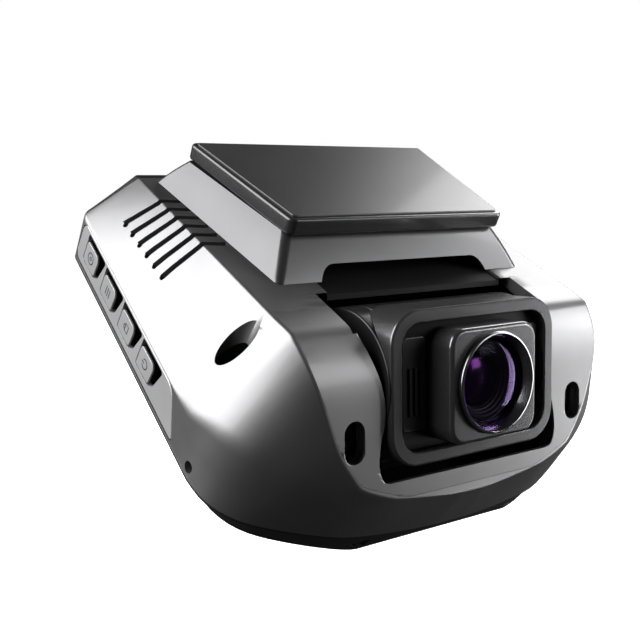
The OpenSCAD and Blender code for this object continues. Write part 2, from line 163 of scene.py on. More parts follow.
def rampNode(tree, source, stops):
    ramp = tree.nodes.new("ShaderNodeValToRGB")
    ramp.color_ramp.elements[0].position = stops[0][0]
    ramp.color_ramp.elements[0].color = (*stops[0][1], 1)
    ramp.color_ramp.elements[1].position = stops[-1][0]
    ramp.color_ramp.elements[1].color = (*stops[-1][1], 1)
    for place, colour in stops[1:-1]:
        ramp.color_ramp.elements.new(place).color = (*colour, 1)
    tree.links.new(source, ramp.inputs["Fac"])
    return ramp


def moulded(name, colour, rough, swing=0.06, grain=0.02, grainScale=9000, coat=0.0, metal=0.0, shine=0.5):
    # plastic or painted skin: fine moulding grain, slightly uneven gloss and colour
    mat, tree, skin = startMaterial(name)
    patches = noiseNode(tree, 60, 2)
    darker = tuple(c * (1 - swing) for c in colour)
    lighter = tuple(min(1, c * (1 + swing)) for c in colour)
    shade = rampNode(tree, patches.outputs["Fac"], [(0.35, darker), (0.65, lighter)])
    tree.links.new(shade.outputs["Color"], skin.inputs["Base Color"])
    sheen = tree.nodes.new("ShaderNodeMapRange")
    sheen.inputs["To Min"].default_value = max(0.02, rough - 0.03)
    sheen.inputs["To Max"].default_value = rough + 0.03
    tree.links.new(patches.outputs["Fac"], sheen.inputs["Value"])
    tree.links.new(sheen.outputs["Result"], skin.inputs["Roughness"])
    skin.inputs["Metallic"].default_value = metal
    skin.inputs["Coat Weight"].default_value = coat
    skin.inputs["Coat Roughness"].default_value = 0.08
    skin.inputs["Specular IOR Level"].default_value = shine
    if grain:
        specks = noiseNode(tree, grainScale, 2)
        bump = tree.nodes.new("ShaderNodeBump")
        bump.inputs["Strength"].default_value = grain
        bump.inputs["Distance"].default_value = 0.0001
        tree.links.new(specks.outputs["Fac"], bump.inputs["Height"])
        tree.links.new(bump.outputs["Normal"], skin.inputs["Normal"])
    return mat


finishes = {
    "shellGunmetal": moulded("shellGunmetal", (0.2, 0.2, 0.203), 0.42, coat=0.1, metal=0.85, grain=0.03),
    "trimGunmetal": moulded("trimGunmetal", (0.17, 0.17, 0.173), 0.38, coat=0.1, metal=0.85, grain=0.03),
    "neckBlack": moulded("neckBlack", (0.085, 0.085, 0.087), 0.36, coat=0.15, metal=0.8, grain=0.02),
    "plateBlack": moulded("plateBlack", (0.02, 0.02, 0.021), 0.26, coat=0.3, grain=0.02),
    "padFilm": moulded("padFilm", (0.03, 0.03, 0.031), 0.36, coat=0.1, grain=0.01),
    "coverBlack": moulded("coverBlack", (0.01, 0.01, 0.011), 0.4, grain=0.08, grainScale=6000),
    "wellBlack": moulded("wellBlack", (0.003, 0.003, 0.0032), 0.6, grain=0.05, shine=0.12),
    "stripSilver": moulded("stripSilver", (0.36, 0.36, 0.365), 0.34, coat=0.15, metal=0.3, grain=0.03),
    "bezelGunmetal": moulded("bezelGunmetal", (0.1, 0.1, 0.103), 0.26, coat=0.2, metal=0.7, grain=0.02),
    "drumBlack": moulded("drumBlack", (0.02, 0.02, 0.021), 0.3, coat=0.2, metal=0.3, grain=0.02),
    "blockGunmetal": moulded("blockGunmetal", (0.15, 0.15, 0.155), 0.24, coat=0.1, metal=0.85, grain=0.015),
    "ringSteel": moulded("ringSteel", (0.32, 0.32, 0.33), 0.2, metal=1.0, grain=0.01),
    "barrelBlack": moulded("barrelBlack", (0.01, 0.01, 0.011), 0.45, grain=0.05),
    "printBlack": moulded("printBlack", (0.03, 0.03, 0.03), 0.5, grain=0.03),
    "screwBlack": moulded("screwBlack", (0.03, 0.03, 0.032), 0.35, metal=0.6, grain=0.05),
    "boardGreen": moulded("boardGreen", (0.01, 0.09, 0.04), 0.4, grain=0.1, grainScale=3000),
    "metalBare": moulded("metalBare", (0.55, 0.55, 0.56), 0.3, metal=1.0, grain=0.03),
    "nylonPale": moulded("nylonPale", (0.7, 0.69, 0.66), 0.5, grain=0.05),
    "brassPlain": moulded("brassPlain", (0.6, 0.44, 0.2), 0.3, metal=1.0, grain=0.03),
    "sleeveBlue": moulded("sleeveBlue", (0.02, 0.04, 0.14), 0.3, grain=0.03),
    "screenGlass": moulded("screenGlass", (0.008, 0.008, 0.01), 0.06, coat=0.6, grain=0),
    "lcdDark": moulded("lcdDark", (0.012, 0.014, 0.02), 0.2, grain=0.02),
    "sensorDie": moulded("sensorDie", (0.03, 0.06, 0.07), 0.15, metal=0.4, grain=0.02),
}


def coatedGlass(name, tint, edgeTint, bend):
    # clear glass with an anti-reflection coat: the reflection takes colour toward the rim
    mat, tree, skin = startMaterial(name)
    nodes, links = tree.nodes, tree.links
    clear = nodes.new("ShaderNodeBsdfTransparent")
    gloss = nodes.new("ShaderNodeBsdfGlossy")
    gloss.inputs["Roughness"].default_value = 0.03
    facing = nodes.new("ShaderNodeLayerWeight")
    facing.inputs["Blend"].default_value = 0.35
    colour = rampNode(tree, facing.outputs["Facing"], [(0.2, tint), (0.75, edgeTint)])
    links.new(colour.outputs["Color"], gloss.inputs["Color"])
    haze = noiseNode(tree, 300, 2)
    dim = rampNode(tree, haze.outputs["Fac"], [(0.3, (0.9, 0.88, 0.95)), (0.7, (0.96, 0.95, 0.98))])
    links.new(dim.outputs["Color"], clear.inputs["Color"])
    fresnel = nodes.new("ShaderNodeFresnel")
    fresnel.inputs["IOR"].default_value = bend
    mix = nodes.new("ShaderNodeMixShader")
    links.new(fresnel.outputs["Fac"], mix.inputs["Fac"])
    links.new(clear.outputs["BSDF"], mix.inputs[1])
    links.new(gloss.outputs["BSDF"], mix.inputs[2])
    links.new(mix.outputs["Shader"], nodes["Material Output"].inputs["Surface"])
    nodes.remove(skin)
    return mat


def tintedMirror(name, base, tint, rough, level):
    # dark inner lens element whose coat throws back one colour
    mat, tree, skin = startMaterial(name)
    cloud = noiseNode(tree, 200, 1)
    shade = rampNode(tree, cloud.outputs["Fac"], [(0.3, base), (0.7, tuple(c * 1.5 for c in base))])
    tree.links.new(shade.outputs["Color"], skin.inputs["Base Color"])
    skin.inputs["Specular Tint"].default_value = (*tint, 1)
    skin.inputs["Specular IOR Level"].default_value = level
    skin.inputs["Roughness"].default_value = rough
    return mat


finishes["coatedGlass"] = coatedGlass("coatedGlass", (0.22, 0.2, 0.3), (0.6, 0.3, 1.0), 1.3)
finishes["innerViolet"] = tintedMirror("innerViolet", (0.004, 0.002, 0.008), (0.75, 0.15, 1.0), 0.16, 1.0)
print("materials made")


def arcCorner(before, corner, after, radius, steps):
    towardBefore = (before - corner).normalized()
    towardAfter = (after - corner).normalized()
    half = towardBefore.angle(towardAfter) / 2
    centre = corner + (towardBefore + towardAfter).normalized() * radius / math.sin(half)
    start = corner + towardBefore * radius / math.tan(half) - centre
    end = corner + towardAfter * radius / math.tan(half) - centre
    first = math.atan2(start.y, start.x)
    sweep = (math.atan2(end.y, end.x) - first + math.pi) % (2 * math.pi) - math.pi
    angles = (first + sweep * k / steps for k in range(steps + 1))
    return [centre + radius * Vector((math.cos(a), math.sin(a))) for a in angles]


def roundedOutline(corners, radii, steps=8):
    # corners run anticlockwise; each gets its own radius
    pts = [Vector(c) for c in corners]
    count = len(pts)
    outline = []
    for k in range(count):
        outline += arcCorner(pts[k - 1], pts[k], pts[(k + 1) % count], radii[k], steps)
    return outline


def roundedBox(width, height, radius, steps=10):
    x, y = width / 2, height / 2
    return roundedOutline([(x, y), (-x, y), (-x, -y), (x, -y)], [radius] * 4, steps)


def circleOutline(radius, steps=48, centre=(0, 0)):
    angles = (2 * math.pi * k / steps for k in range(steps))
    return [Vector((centre[0] + radius * math.cos(a), centre[1] + radius * math.sin(a))) for a in angles]


def insetOutline(outline, inset):
    moved = []
    for k, p in enumerate(outline):
        along = (outline[(k + 1) % len(outline)] - outline[k - 1]).normalized()
        moved.append(p + inset * Vector((-along.y, along.x)))
    return moved


def meshPiece(name, verts, faces, place):
    mesh = bpy.data.meshes.new(name)
    mesh.from_pydata([place @ Vector(v) for v in verts], [], faces)
    work = bmesh.new()
    work.from_mesh(mesh)
    bmesh.ops.remove_doubles(work, verts=work.verts, dist=1e-7)
    bmesh.ops.recalc_face_normals(work, faces=work.faces)
    work.to_mesh(mesh)
    work.free()
    piece = bpy.data.objects.new(name, mesh)
    bpy.context.collection.objects.link(piece)
    return piece


def ringPiece(name, rings, place, caps=True, closed=False):
    # skins a stack of rings that all have the same number of points
    count = len(rings[0])
    verts = [p for ring in rings for p in ring]
    faces = []
    spans = len(rings) if closed else len(rings) - 1
    for r in range(spans):
        low, high = r * count, (r + 1) % len(rings) * count
        for k in range(count):
            n = (k + 1) % count
            faces.append((low + k, low + n, high + n, high + k))
    if caps and not closed:
        faces.append(tuple(range(count)))
        faces.append(tuple(len(verts) - count + k for k in range(count)))
    return meshPiece(name, verts, faces, place)


def flatRing(outline, height):
    return [(p.x, p.y, height) for p in outline]


def plateRings(outline, low, high, edge, steps=4):
    # an outline thickened from low to high with round edges
    turns = [math.pi / 2 * k / steps for k in range(steps + 1)]
    bends = [(edge * (1 - math.sin(a)), edge * (1 - math.cos(a))) for a in turns]
    rings = [flatRing(insetOutline(outline, inset), low + rise) for inset, rise in bends]
    rings += [flatRing(insetOutline(outline, inset), high - rise) for inset, rise in reversed(bends)]
    return rings


def platePiece(name, outline, low, high, edge, place, steps=4):
    return ringPiece(name, plateRings(outline, low, high, edge, steps), place)


def prismPiece(name, outline, low, high, place):
    return ringPiece(name, [flatRing(outline, low), flatRing(outline, high)], place)


def boxPiece(name, low, high, place):
    corners = [(low[0], low[1]), (high[0], low[1]), (high[0], high[1]), (low[0], high[1])]
    return prismPiece(name, [Vector(c) for c in corners], low[2], high[2], place)


def turnedPiece(name, profile, place, steps=96, closed=False):
    # profile is (radius, height) from the axis outwards or round a closed section
    turns = [2 * math.pi * k / steps for k in range(steps)]
    rings = []
    for radius, height in profile:
        rings.append([(radius * math.cos(a), radius * math.sin(a), height) for a in turns])
    return ringPiece(name, rings, place, caps=not closed, closed=closed)


def bakeModifiers(piece):
    graph = bpy.context.evaluated_depsgraph_get()
    mesh = bpy.data.meshes.new_from_object(piece.evaluated_get(graph))
    piece.modifiers.clear()
    piece.data = mesh


def splitBigFaces(piece):
    # faces of many corners are cut into triangles, which the booleans take better
    work = bmesh.new()
    work.from_mesh(piece.data)
    bmesh.ops.triangulate(work, faces=[f for f in work.faces if len(f.verts) > 4])
    work.to_mesh(piece.data)
    work.free()


def carve(piece, cutters, how="DIFFERENCE"):
    for cutter in cutters:
        splitBigFaces(cutter)
        uncut = piece.data
        for careful in (False, True):       # the slower way only where the quick one loses the piece
            piece.data = uncut
            step = piece.modifiers.new("carve", "BOOLEAN")
            step.operation = how
            step.solver = "EXACT"
            step.use_self = careful
            step.object = cutter
            bakeModifiers(piece)
            if how == "INTERSECT" or len(piece.data.vertices) > 0.5 * len(uncut.vertices):
                break
        bpy.data.objects.remove(cutter)
    return piece


def softenEdges(piece, width, angle=32, steps=2):
    # width in mm, angle in degrees
    step = piece.modifiers.new("softEdges", "BEVEL")
    step.width = width * mm
    step.segments = steps
    step.limit_method = "ANGLE"
    step.angle_limit = math.radians(angle)
    step.use_clamp_overlap = True
    bakeModifiers(piece)
    return piece


def smoothShade(piece, angle=38):
    mesh = piece.data
    mesh.polygons.foreach_set("use_smooth", [True] * len(mesh.polygons))
    mesh.set_sharp_from_angle(angle=math.radians(angle))
    if piece.name not in frame["nodes"]:
        step = piece.modifiers.new("evenNormals", "WEIGHTED_NORMAL")
        step.keep_sharp = True
    return piece


def fit(piece, finish, body, nodes=(), angle=38):
    # nodes are the ones this piece stands for
    piece.data.materials.clear()
    piece.data.materials.append(finishes[finish])
    smoothShade(piece, angle)
    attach(piece, body)
    if nodes:
        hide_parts(*nodes)
    return piece


# mm; s runs up the screen from the lens axis, heights stand off the screen
housing = {
    "rimDepth": -25.6,              # rear seam
    "low": -12.4,
    "high": 66.35,
    "deckStart": 15.2,
    "deckHeight": 3.9,              # at the deck's front edge
    "deckFall": 0.2327,
    "deckWidth": 36.5,
    "noseMeetsDeck": 12,
    "topLean": 0.105,
    "leanStart": 45,
    "topRadius": 2.6,
    "shoulderRadius": 0.7,
    "wall": 2.4,
    "sections": 84,
}
# rounding of the sides' widest line: at the front, at the rear, swollen between them
sideBend = {"front": 6.5, "rear": 1.1, "middle": 6, "fade": 1.2, "fadeStart": -4, "fadeOver": 24,
            "swellStart": -8, "swellOver": 28}
# how far a skin one unit further in moves along and down the deck and the nose
skinShift = {"deck": 1.03, "deckStart": 0.77, "noseAlong": 0.767, "noseDown": 0.641, "shoulder": 0.62,
             "side": 0.25}

# front of the housing, top to bottom: depth, height, half width
nosePoints = [(9.1, 12.7, 36.5), (6, 11.2, 36.3), (3.7, 8, 35.7), (2, 4.3, 34.8), (1.2, 0, 33.5),
              (1.1, -4.2, 32.1), (1.1, -9, 30.3), (1.1, -13.2, 27.7), (1.1, -15.6, 26), (1.1, -17.8, 22.4),
              (1.1, -19, 16), (1.1, -20.2, 7)]
# bottom half of the rear seam and the widest line of the sides: position, half width (and depth)
seamPoints = [(-12.4, 3), (-12.2, 8), (-11.8, 13), (-11.2, 18.5), (-10.2, 24), (-8.5, 29), (-7, 32.6),
              (-5, 36.8), (-3, 40.3), (-1, 42.7), (1, 44.3), (3, 45.4), (5, 46), (8.5, 46.5), (70, 46.5)]
sidePoints = [(-12.4, 3, -21), (-11.2, 18.5, -19.5), (-7, 32, -15.8), (-3, 38, -13.5), (2, 42.5, -12.5),
              (8, 45.2, -13.2), (15, 46.5, -15.6), (20, 46.5, -16.5), (72, 46.5, -16.5)]


def curveThrough(knots, at, column=1):
    # smooth line through the knots that never overshoots them
    if at <= knots[0][0]:
        return knots[0][column]
    if at >= knots[-1][0]:
        return knots[-1][column]
    k = max(i for i in range(len(knots) - 1) if knots[i][0] <= at)
    slopes = [(knots[i + 1][column] - knots[i][column]) / (knots[i + 1][0] - knots[i][0])
              for i in range(len(knots) - 1)]

    def lean(i):
        if i == 0 or i == len(knots) - 1:
            return slopes[min(i, len(slopes) - 1)]
        if slopes[i - 1] * slopes[i] <= 0:
            return 0.0
        return 2 * slopes[i - 1] * slopes[i] / (slopes[i - 1] + slopes[i])

    span = knots[k + 1][0] - knots[k][0]
    u = (at - knots[k][0]) / span
    return ((2 * u ** 3 - 3 * u ** 2 + 1) * knots[k][column] + (u ** 3 - 2 * u ** 2 + u) * span * lean(k)
            + (3 * u ** 2 - 2 * u ** 3) * knots[k + 1][column] + (u ** 3 - u ** 2) * span * lean(k + 1))


def noseKnots():
    c, s = math.cos(slabTilt), math.sin(slabTilt)
    return sorted((c * y + s * z, -s * y + c * z, half) for y, z, half in nosePoints)


noseLine = noseKnots()


def frontHeight(s, inset=0.0):
    # height of the deck or of the front face over the screen plane
    start = housing["deckStart"]
    deck = housing["deckHeight"] - (s - start) * housing["deckFall"] - skinShift["deck"] * inset
    if s < start + skinShift["deckStart"] * inset:
        nose = curveThrough(noseLine, s - skinShift["noseAlong"] * inset) - skinShift["noseDown"] * inset
        return min(nose, deck) if s > housing["noseMeetsDeck"] else nose
    return deck


def topRounding(s):
    radius = housing["topRadius"]
    over = s - (housing["high"] - radius)
    return radius - math.sqrt(max(0.0, radius ** 2 - over ** 2)) if over > 0 else 0.0


def sideRadiusAt(s):
    b = sideBend
    fade = min(1.0, max(0.0, (s - b["fadeStart"]) / b["fadeOver"]))
    swell = math.sin(math.pi * min(1, max(0, (s - b["swellStart"]) / b["swellOver"])))
    return b["front"] * (1 - fade) ** b["fade"] + b["rear"] + b["middle"] * swell


def bodySection(s, inset, drop):
    # outline across the housing at s: seam, widest line and shoulder on the right, then mirrored
    leanStart = housing["leanStart"]
    lean = housing["topLean"] * max(0.0, (s - leanStart) / (housing["high"] - leanStart)) ** 2
    rounding = topRounding(s)
    seam = curveThrough(seamPoints, s) - inset - rounding
    side = curveThrough(sidePoints, s) - inset - rounding * 0.85
    sideDepth = curveThrough(sidePoints, s, 2) - skinShift["side"] * inset
    deck = frontHeight(s, inset)
    deck = frontHeight(s + lean * (deck - housing["rimDepth"]), inset)
    shoulder = housing["deckWidth"]
    if s <= housing["deckStart"]:
        shoulder = curveThrough(noseLine, s - skinShift["noseAlong"] * inset, 2)
    shoulder = min(shoulder - skinShift["shoulder"] * inset, side - 0.5)
    half = [Vector((seam, housing["rimDepth"] - drop)), Vector((side, sideDepth)), Vector((shoulder, deck)),
            Vector((0, deck))]
    reach = min((half[1] - half[0]).length, (half[2] - half[1]).length) * 0.9
    bend = (half[0] - half[1]).angle(half[2] - half[1]) / 2
    sideRadius = min(sideRadiusAt(s), reach * math.tan(bend))
    line = [half[0].lerp(half[1], k / 4 * 0.6) for k in range(4)]
    line += arcCorner(half[0], half[1], half[2], sideRadius, 8)
    flankEnd = line[-1]
    corner = arcCorner(half[1], half[2], half[3], housing["shoulderRadius"], 3)
    line += [flankEnd.lerp(corner[0], k / 9) for k in range(1, 9)] + corner
    line += [corner[-1].lerp(half[3], k / 6) for k in range(1, 6)]
    mirrored = [Vector((-p.x, p.y)) for p in reversed(line)]
    whole = line + [half[3]] + mirrored
    return [(p.x, s + lean * (p.y - housing["rimDepth"]), p.y) for p in whole]


def bodySolid(name, inset=0.0, drop=0.0):
    low, high = housing["low"] + inset, housing["high"] - inset
    count = housing["sections"]
    rings = []
    for k in range(count + 1):
        s = low + (high - low) * (0.5 - 0.5 * math.cos(math.pi * k / count))
        rings.append(bodySection(s, inset, drop))
    return ringPiece(name, rings, slabFrame)


frontTrim = {
    "corners": [(36.2, 14), (-36.2, 14), (-34.5, 4), (-33.1, 0), (-30, -8.8), (-25.8, -15.2), (-16, -18.8),
                (16, -18.8), (25.8, -15.2), (30, -8.8), (33.1, 0), (34.5, 4)],
    "radii": [1, 1, 8, 8, 8, 6, 12, 12, 6, 8, 8, 8],
    "back": -11,
    "front": 3,
    "thick": 1.2,
}


def trimPrism(name, grow=0.0):
    outline = insetOutline(roundedOutline(frontTrim["corners"], frontTrim["radii"], 4), -grow)
    return prismPiece(name, outline, frontTrim["back"], frontTrim["front"], lensFrame)


turretWell = {
    "halfWidth": 20.4,
    "swing": 19.5,
    "cheekHalf": 24.3,
    "cheekRadius": 15.85,
    "cheekStart": -4.8,             # behind the trim
    "top": 18,
    "deckCut": ((-21.7, -36, -13.4), (21.7, -13.4, -9)),
    # right edge of the opening, bottom to top: half width, height
    "edge": [(19.5, -15.8), (21.2, -14.8), (21.9, -12.3), (21.5, -8.6), (20.7, -5.7), (20.4, -3.1),
             (20.9, 0.5), (21.9, 4.2), (22.6, 6.8), (23.4, 9.7), (23.8, 13)],
    "footCorner": (20.6, -15.5),
}


def openingOutline():
    edge = turretWell["edge"]
    low, high = edge[1][1], edge[-1][1]
    byHeight = [(z, x) for x, z in edge]
    side = [Vector(edge[0]), Vector(turretWell["footCorner"])]
    for k in range(25):
        z = low + (high - low) * k / 24
        side.append(Vector((curveThrough(byHeight, z), z)))
    side.append(Vector((edge[-1][0], turretWell["top"])))
    return side + [Vector((-p.x, p.y)) for p in reversed(side)]


def wellCutters():
    w = turretWell
    mouth = prismPiece("mouth", openingOutline(), -9, 5, lensFrame)
    half, cheekHalf = w["halfWidth"], w["cheekHalf"]
    swing = prismPiece("swing", circleOutline(w["swing"], 96), -half, half, axleFrame)
    cheek = prismPiece("cheek", circleOutline(w["cheekRadius"], 72), -cheekHalf, cheekHalf, axleFrame)
    carve(cheek, [boxPiece("trimDepth", (-30, -20, w["cheekStart"]), (30, 20, 20), lensFrame)])
    return [mouth, swing, cheek, boxPiece("deckCut", *w["deckCut"], padFrame)]


screwSeats = {
    "flank": {"x": 40, "s": 17.7, "radius": 2.4, "floor": -14, "boss": 3.2, "hole": 1.15},
    "trim": {"x": 27, "z": -7.6, "radius": 2.15, "stretch": 1.5, "floor": -5.5},
}


def flankPlace(side):
    return slabFrame @ Matrix.Translation((side * screwSeats["flank"]["x"], screwSeats["flank"]["s"], 0))


def seatCutters():
    flank, trim = screwSeats["flank"], screwSeats["trim"]
    cutters = []
    for side in (1, -1):
        cutters.append(prismPiece("flankSeat", circleOutline(flank["radius"], 40), flank["floor"], 16,
                                  flankPlace(side)))
    x, z = trim["radius"], trim["stretch"] + trim["radius"]
    outline = roundedOutline([(x, z), (-x, z), (-x, -z), (x, -z)], [x * 0.99] * 4, 10)
    for side in (1, -1):
        place = lensFrame @ Matrix.Translation((side * trim["x"], trim["z"], 0))
        cutters.append(prismPiece("trimSeat", outline, trim["floor"], 6, place))
    return cutters


vents = {
    "count": 6,
    "first": 10.3,
    "pitch": 3.4,
    "width": 1.3,
    "deckEnd": 31.6,                # inner end, on the deck
    "shoulder": 36.5,
    "reach": 4.5,                   # how far the first one runs down the flank
    "grow": 0.18,                   # each next one runs a little further
    "fall": 1.45,
    "skew": 0.46,
    "deck": -10,
    "floor": -13.2,
    "over": -8,
}


def ventCutters():
    v = vents
    half = v["width"] / 2
    fall = math.atan(v["fall"])
    cutters = []
    for side in (1, -1):
        for k in range(v["count"]):
            middle = v["first"] - v["pitch"] * k
            reach = v["reach"] + v["grow"] * k
            x, w = v["shoulder"] + reach, v["deck"] - v["fall"] * reach
            outline = [(v["deckEnd"], v["over"]), (v["deckEnd"], v["floor"]), (35.3, v["floor"]),
                       (x - 2.4, w - 1.65), (x + 1.6, w + 1.1), (38.5, v["over"])]
            rings = []
            for step in (-half, half):
                rings.append([(side * a, middle + step + max(0, a - v["shoulder"]) * v["skew"], b)
                              for a, b in outline])
            cutters.append(ringPiece("vent", rings, padFrame))
            tip = Matrix.Translation((side * x, middle + reach * v["skew"], w))
            place = padFrame @ tip @ Matrix.Rotation(side * fall, 4, "Y")
            cutters.append(prismPiece("ventEnd", circleOutline(half * 0.9, 20), -2.9, 1.5, place))
    return cutters


strips = {
    "corners": [(64.4, -16.8), (20.6, -16.8), (15.2, -25.2), (64.4, -25.2)],
    "radii": [2, 4, 0.6, 2],
    "thick": 1.35,
    "edge": 0.3,
    "seatGap": 0.14,
    "seatDepth": 1.4,
}


def stripOutline(grow=0.0):
    return insetOutline(roundedOutline(strips["corners"], strips["radii"], 8), -grow)


def endFrame(x):
    # screen coordinates laid on an end face: first along the screen, then its depth, extruding along +X
    return slabFrame @ Matrix(((0, 0, 1, x), (1, 0, 0, 0), (0, 1, 0, 0), (0, 0, 0, 1)))


topBand = {"seam": 65.0, "slope": 0.105, "gap": 0.05, "edge": 0.5, "wall": 1.4, "drop": 2.5}


def topCutter(name, gap=0.0):
    # everything above the band's seam, which leans back with the top
    low = topBand["seam"] + gap
    rise = topBand["slope"]
    corners = [(low - 0.4 * rise, -26), (80, -26), (80, 8), (low + 33.6 * rise, 8)]
    return prismPiece(name, [Vector(c) for c in corners], -60, 60, endFrame(0))


def makeTopBand():
    band = bodySolid("topBand")
    carve(band, [topCutter("topArea", topBand["gap"])], "INTERSECT")
    softenEdges(band, topBand["edge"], 50, 3)
    carve(band, [bodySolid("topInside", topBand["wall"], topBand["drop"])])
    return fit(band, "coverBlack", "housing")


# behind the end strips and under the microphone: corners in from each end face
shellBays = {
    "button": ((-1, 22, -24.6), (4, 63, -18)),
    "port": ((-4, 24, -24.9), (1, 61, -20.5)),
    "micPlace": (8.9, -23.9),
    "micRadius": 1.1,
}


def bayBox(name, end):
    low, high = shellBays[name]
    return boxPiece(name + "Bay", (end + low[0], *low[1:]), (end + high[0], *high[1:]), slabFrame)


def micPort():
    place = slabFrame @ Matrix.Translation((-halfWidth, *shellBays["micPlace"]))
    inward = Matrix.Rotation(math.pi / 2, 4, "Y")
    return prismPiece("micPort", circleOutline(shellBays["micRadius"], 24), -2, 6, place @ inward)


def makeShell():
    shell = bodySolid("housingShell")
    carve(shell, [topCutter("topGap")])
    carve(shell, [bodySolid("cavity", housing["wall"], 2.5)])
    step = trimPrism("trimStep", 0.06)
    carve(step, [bodySolid("underTrim", frontTrim["thick"] + 0.05)])
    carve(shell, [step] + wellCutters() + seatCutters() + ventCutters())
    for x in (-halfWidth - 1, halfWidth - strips["seatDepth"]):
        carve(shell, [prismPiece("stripSeat", stripOutline(strips["seatGap"]), 0, 2.4, endFrame(x))])
    carve(shell, [bayBox("button", -halfWidth), bayBox("port", halfWidth), micPort()])
    softenEdges(shell, 0.16)
    return fit(shell, "shellGunmetal", "housing", ["main_shell"])


def makeTrim():
    trim = bodySolid("frontTrim")
    carve(trim, [trimPrism("trimArea")], "INTERSECT")
    carve(trim, [bodySolid("trimInside", frontTrim["thick"])] + wellCutters() + seatCutters())
    softenEdges(trim, 0.22)
    return fit(trim, "trimGunmetal", "housing", ["front_trim"])


makeShell()
makeTopBand()
makeTrim()
print("housing made")

cover = {
    "seam": -25.65,
    "lip": 0.55,
    "screenInset": 2.4,
    "edge": 1.5,
    "backWall": 1.8,
    "windowUp": 2,
    "pocket": (74.2, 56.2, 3.1),    # width, height and corner of the screen window's seat
    "pocketDepth": 1.25,
    "opening": (69.4, 50.4, 0.5),
    "samples": 56,
}


def seamOutline(inset=0.0):
    low, high = housing["low"] + inset * 0.6, housing["high"] - inset
    right = []
    for k in range(cover["samples"] + 1):
        s = low + (high - low) * (0.5 - 0.5 * math.cos(math.pi * k / cover["samples"]))
        right.append(Vector((curveThrough(seamPoints, s) - inset - topRounding(s), s)))
    return right + [Vector((-p.x, p.y)) for p in reversed(right)]


def screenRing(inset, depth):
    # the seam's outline laid on the screen's own plane, which reclines a little further
    toSlab = slabFrame.inverted() @ screenFrame
    return [tuple(toSlab @ Vector((p.x, p.y - 27, depth))) for p in seamOutline(inset)]


def makeCover():
    c = cover
    edge, seam = c["edge"], c["seam"]
    rings = [flatRing(seamOutline(0.12), seam), flatRing(seamOutline(0.0), seam - 0.12),
             flatRing(seamOutline(0.0), seam - c["lip"])]
    for k in range(5):
        turn = math.pi / 2 * k / 4
        rings.append(screenRing(c["screenInset"] + edge * (1 - math.cos(turn)), edge * (1 - math.sin(turn))))
    back = ringPiece("rearCover", rings, slabFrame)
    seat = screwSeats["flank"]
    hollow = prismPiece("hollow", seamOutline(housing["wall"]), -35, -15, slabFrame)
    carve(hollow, [boxPiece("backWall", (-60, -60, -20), (60, 60, c["backWall"]), screenFrame)])
    for side in (1, -1):
        carve(hollow, [prismPiece("boss", circleOutline(seat["boss"], 32), -30, -10, flankPlace(side))])
    window = screenFrame @ Matrix.Translation((0, c["windowUp"], 0))
    carve(back, [prismPiece("pocket", roundedBox(*c["pocket"]), -1, c["pocketDepth"], window), hollow,
                 prismPiece("opening", roundedBox(*c["opening"]), -1, 10, window)])
    for side in (1, -1):
        carve(back, [prismPiece("screwHole", circleOutline(seat["hole"], 24), -27.4, -20, flankPlace(side))])
    softenEdges(back, 0.12)
    return fit(back, "coverBlack", "housing", ["rear_cover"])


makeCover()

bracket = {
    "front": 26.3,                  # half width of the plate's front edge
    "rear": 29.6,
    "halfDepth": 16.5,
    "thick": 3.15,
    "plateTop": -0.35,
    "frontRadius": 1.6,
    "rearRadius": 1.4,
    "edge": 0.55,
    "filmInset": 1.0,
    "filmThick": 0.9,
    "filmEdge": 0.22,
    "seatDepth": 0.95,
    "railWeb": ((-20, -5, -6.1), (24, 5, -3.4)),
    "railFoot": ((-20, -8.5, -8.1), (24, 8.5, -6)),
}


def trapezoid(front, rear, low, high, frontRadius, rearRadius, steps=8):
    corners = [(rear, high), (-rear, high), (-front, low), (front, low)]
    return roundedOutline(corners, [rearRadius, rearRadius, frontRadius, frontRadius], steps)


def plateOutline(inset):
    b = bracket
    return trapezoid(b["front"] - inset, b["rear"] - inset, inset - b["halfDepth"], b["halfDepth"] - inset,
                     b["frontRadius"] - inset * 0.6, b["rearRadius"] - inset * 0.8)


def makeBracket():
    b = bracket
    top = b["plateTop"]
    plate = platePiece("bracketPlate", plateOutline(0), top - b["thick"], top, b["edge"], padFrame)
    carve(plate, [prismPiece("filmSeat", plateOutline(b["filmInset"] - 0.1), -b["seatDepth"], 1, padFrame)])
    rail = [boxPiece(name, *b[name], padFrame) for name in ("railWeb", "railFoot")]
    carve(plate, rail, "UNION")
    softenEdges(plate, 0.12)
    fit(plate, "plateBlack", "windscreen_bracket", ["mount_plate"])
    film = plateOutline(b["filmInset"])
    film = platePiece("adhesiveFilm", film, -b["filmThick"], 0, b["filmEdge"], padFrame)
    fit(film, "padFilm", "windscreen_bracket", ["adhesive_pad"])


neck = {
    "topWidths": (25.7, 29.8),      # half widths at the front and at the rear
    "topReach": (-15, 15.6),
    "top": -3.8,
    "baseWidths": (30, 33.4),
    "baseReach": (-22, 19.5),
    "base": -9.95,
    "radii": (1.6, 0.9),
    "arch": (20.8, -7.7, 3.6),      # half width, height, corner
    "archReach": 18,
    "flare": 0.04,                  # how hollow the sides are
    "levels": 10,
    "cuts": {
        "slotFoot": ((-24, -8.75, -8.4), (40, 8.75, -5.8)),
        "slotWeb": ((-20.3, -5.25, -6), (40, 5.25, 0)),
        "pocketRight": ((22.5, -11, -12), (27, 11, -9.2)),
        "pocketLeft": ((-27, -11, -12), (-22.5, 11, -9.2)),
    },
}


def neckOutline(share):
    n = neck
    ends = [n["baseWidths"] + n["baseReach"], n["topWidths"] + n["topReach"]]
    sizes = [a + (b - a) * share for a, b in zip(*ends)]
    return trapezoid(*sizes, *n["radii"])


